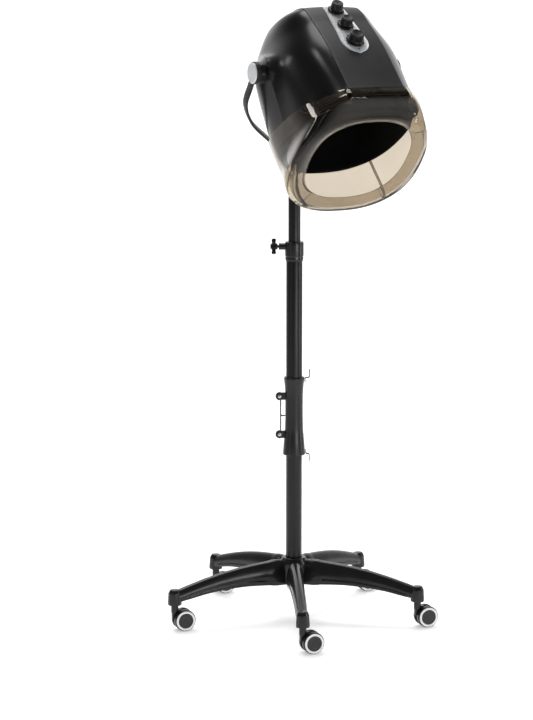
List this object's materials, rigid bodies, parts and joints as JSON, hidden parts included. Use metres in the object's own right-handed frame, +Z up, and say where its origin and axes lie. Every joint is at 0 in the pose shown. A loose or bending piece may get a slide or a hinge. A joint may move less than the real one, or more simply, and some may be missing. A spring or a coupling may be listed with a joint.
{
  "type": "hood hair dryer",
  "caption": "Salon hood hair dryer with a tilting hood and smoked clear visor, on a height-adjustable column over a star base with casters.",
  "frame": {"origin": "centre of the bounding box on the floor plane, close in front of the column's axis", "axes": "+Z up, the hood's opening towards -Y, its tilt axis along X"},
  "size_m": [0.757, 0.8879, 1.7884],
  "materials": {
    "star_base": "glossy moulded black nylon",
    "tube_plug": "plain black plastic",
    "column_bolt": "zinc plated",
    "caster_1_housing": "glossy black nylon",
    "caster_1_wheel_left": "black nylon wheel with a pale ring on its face",
    "lower_tube": "satin black paint",
    "guide_bush": "plain black plastic",
    "clamp_collar": "glossy black plastic",
    "upper_lug_screw": "zinc plated",
    "tie_rod": "black wire",
    "yoke": "satin black paint",
    "pivot_cap_left": "silver plastic disc",
    "side_shell_left": "high gloss black plastic",
    "visor_joint_left": "clear smoked plastic",
    "centre_band": "satin dark grey plastic",
    "rear_air_grille": "satin black plastic",
    "cable_gland": "black rubber",
    "control_plate": "light silver plastic",
    "timer_knob": "glossy black plastic",
    "indicator_lens": "clear blue plastic",
    "inner_drum": "black high temperature plastic",
    "visor": "clear smoked plastic",
    "fan_motor": "plain metal can",
    "fan_impeller": "black plastic",
    "heater_frame": "mica sheet",
    "heater_coil": "resistance wire"
  },
  "bodies": {
    "stand": {"star_base": "star_base", "tube_plug": "tube_plug", "column_bolt": "column_bolt", "lower_tube": "lower_tube", "clamp_collar": "clamp_collar", "grip_sleeve": "clamp_collar", "upper_lug_screw": "upper_lug_screw", "lower_lug_screw": "upper_lug_screw", "tie_rod": "tie_rod", "upper_cord_hook": "lower_tube", "lower_cord_hook": "lower_tube"},
    "slide_bush": {"guide_bush": "guide_bush"},
    "upper_column": {"upper_tube": "lower_tube", "yoke_socket": "clamp_collar", "yoke": "yoke", "yoke_bolt": "column_bolt", "pivot_cap_left": "pivot_cap_left", "pivot_cap_right": "pivot_cap_left"},
    "hood": {"side_shell_left": "side_shell_left", "side_shell_right": "side_shell_left", "centre_band": "centre_band", "rear_air_grille": "rear_air_grille", "cable_gland": "cable_gland", "control_plate": "control_plate", "timer_body": "tube_plug", "thermostat_body": "tube_plug", "speed_switch_body": "tube_plug", "indicator_lens": "indicator_lens", "inner_drum": "inner_drum", "visor": "visor", "visor_joint_left": "visor_joint_left", "visor_joint_right": "visor_joint_left", "fan_motor": "fan_motor", "heater_frame": "heater_frame", "heater_coil": "heater_coil", "pivot_hub_left": "clamp_collar", "pivot_hub_right": "clamp_collar", "pivot_bolt_left": "column_bolt", "pivot_bolt_right": "column_bolt"},
    "fan": {"fan_impeller": "fan_impeller"},
    "timer_knob": {"timer_knob": "timer_knob"},
    "temperature_knob": {"temperature_knob": "timer_knob"},
    "speed_knob": {"speed_knob": "timer_knob"},
    "height_screw": {"height_screw": "clamp_collar"},
    "caster_1": {"caster_1_housing": "caster_1_housing"},
    "caster_1_wheel_left": {"caster_1_wheel_left": "caster_1_wheel_left"},
    "caster_1_wheel_right": {"caster_1_wheel_right": "caster_1_wheel_left"},
    "caster_2": {"caster_2_housing": "caster_1_housing"},
    "caster_2_wheel_left": {"caster_2_wheel_left": "caster_1_wheel_left"},
    "caster_2_wheel_right": {"caster_2_wheel_right": "caster_1_wheel_left"},
    "caster_3": {"caster_3_housing": "caster_1_housing"},
    "caster_3_wheel_left": {"caster_3_wheel_left": "caster_1_wheel_left"},
    "caster_3_wheel_right": {"caster_3_wheel_right": "caster_1_wheel_left"},
    "caster_4": {"caster_4_housing": "caster_1_housing"},
    "caster_4_wheel_left": {"caster_4_wheel_left": "caster_1_wheel_left"},
    "caster_4_wheel_right": {"caster_4_wheel_right": "caster_1_wheel_left"},
    "caster_5": {"caster_5_housing": "caster_1_housing"},
    "caster_5_wheel_left": {"caster_5_wheel_left": "caster_1_wheel_left"},
    "caster_5_wheel_right": {"caster_5_wheel_right": "caster_1_wheel_left"}
  },
  "joints": [
    {"name": "caster_1_swivel", "type": "hinge", "parent": "stand", "child": "caster_1", "pos_m": [-0.13583, -0.2704, 0.09], "axis": [0, 0, 1], "continuous": true},
    {"name": "caster_1_left_spin", "type": "hinge", "parent": "caster_1", "child": "caster_1_wheel_left", "pos_m": [-0.10938, -0.27318, 0.031], "axis": [0.1045, 0.9945, 0], "continuous": true},
    {"name": "caster_1_right_spin", "type": "hinge", "parent": "caster_1", "child": "caster_1_wheel_right", "pos_m": [-0.10938, -0.27318, 0.031], "axis": [0.1045, 0.9945, 0], "continuous": true},
    {"name": "caster_2_swivel", "type": "hinge", "parent": "stand", "child": "caster_2", "pos_m": [0.28306, -0.17215, 0.09], "axis": [0, 0, 1], "continuous": true},
    {"name": "caster_2_left_spin", "type": "hinge", "parent": "caster_2", "child": "caster_2_wheel_left", "pos_m": [0.30951, -0.17493, 0.031], "axis": [0.1045, 0.9945, 0], "continuous": true},
    {"name": "caster_2_right_spin", "type": "hinge", "parent": "caster_2", "child": "caster_2_wheel_right", "pos_m": [0.30951, -0.17493, 0.031], "axis": [0.1045, 0.9945, 0], "continuous": true},
    {"name": "caster_3_swivel", "type": "hinge", "parent": "stand", "child": "caster_3", "pos_m": [0.31906, 0.2566, 0.09], "axis": [0, 0, 1], "continuous": true},
    {"name": "caster_3_left_spin", "type": "hinge", "parent": "caster_3", "child": "caster_3_wheel_left", "pos_m": [0.34552, 0.25382, 0.031], "axis": [0.1045, 0.9945, 0], "continuous": true},
    {"name": "caster_3_right_spin", "type": "hinge", "parent": "caster_3", "child": "caster_3_wheel_right", "pos_m": [0.34552, 0.25382, 0.031], "axis": [0.1045, 0.9945, 0], "continuous": true},
    {"name": "caster_4_swivel", "type": "hinge", "parent": "stand", "child": "caster_4", "pos_m": [-0.07758, 0.42333, 0.09], "axis": [0, 0, 1], "continuous": true},
    {"name": "caster_4_left_spin", "type": "hinge", "parent": "caster_4", "child": "caster_4_wheel_left", "pos_m": [-0.05112, 0.42055, 0.031], "axis": [0.1045, 0.9945, 0], "continuous": true},
    {"name": "caster_4_right_spin", "type": "hinge", "parent": "caster_4", "child": "caster_4_wheel_right", "pos_m": [-0.05112, 0.42055, 0.031], "axis": [0.1045, 0.9945, 0], "continuous": true},
    {"name": "caster_5_swivel", "type": "hinge", "parent": "stand", "child": "caster_5", "pos_m": [-0.35872, 0.09763, 0.09], "axis": [0, 0, 1], "continuous": true},
    {"name": "caster_5_left_spin", "type": "hinge", "parent": "caster_5", "child": "caster_5_wheel_left", "pos_m": [-0.33226, 0.09485, 0.031], "axis": [0.1045, 0.9945, 0], "continuous": true},
    {"name": "caster_5_right_spin", "type": "hinge", "parent": "caster_5", "child": "caster_5_wheel_right", "pos_m": [-0.33226, 0.09485, 0.031], "axis": [0.1045, 0.9945, 0], "continuous": true},
    {"name": "height_slide", "type": "slide", "parent": "stand", "child": "slide_bush", "axis": [0, 0, 1], "range_m": [-0.16, 0.2]},
    {"name": "column_swivel", "type": "hinge", "parent": "slide_bush", "child": "upper_column", "pos_m": [0.006, 0.067, 1.2], "axis": [0, 0, 1], "continuous": true},
    {"name": "hood_tilt", "type": "hinge", "parent": "upper_column", "child": "hood", "pos_m": [0.006, -0.118, 1.593], "axis": [-1, 0, 0], "range_deg": [-9, 35]},
    {"name": "height_screw_turn", "type": "hinge", "parent": "stand", "child": "height_screw", "pos_m": [-0.03894, 0.08892, 1.089], "axis": [-0.8988, 0.4384, 0], "range_deg": [-180, 180]},
    {"name": "fan_spin", "type": "hinge", "parent": "hood", "child": "fan", "pos_m": [0.006, -0.08331, 1.66509], "axis": [0, 0.4337, 0.9011], "continuous": true},
    {"name": "timer_knob_turn", "type": "hinge", "parent": "hood", "child": "timer_knob", "pos_m": [0.006, -0.28913, 1.67944], "axis": [0, 0.6133, -0.7898], "range_deg": [0, 300]},
    {"name": "temperature_knob_turn", "type": "hinge", "parent": "hood", "child": "temperature_knob", "pos_m": [0.006, -0.23356, 1.71864], "axis": [0, 0.5469, -0.8372], "range_deg": [-135, 135]},
    {"name": "speed_knob_turn", "type": "hinge", "parent": "hood", "child": "speed_knob", "pos_m": [0.006, -0.17784, 1.756], "axis": [0, 0.4926, -0.8703], "range_deg": [-60, 60]}
  ]
}
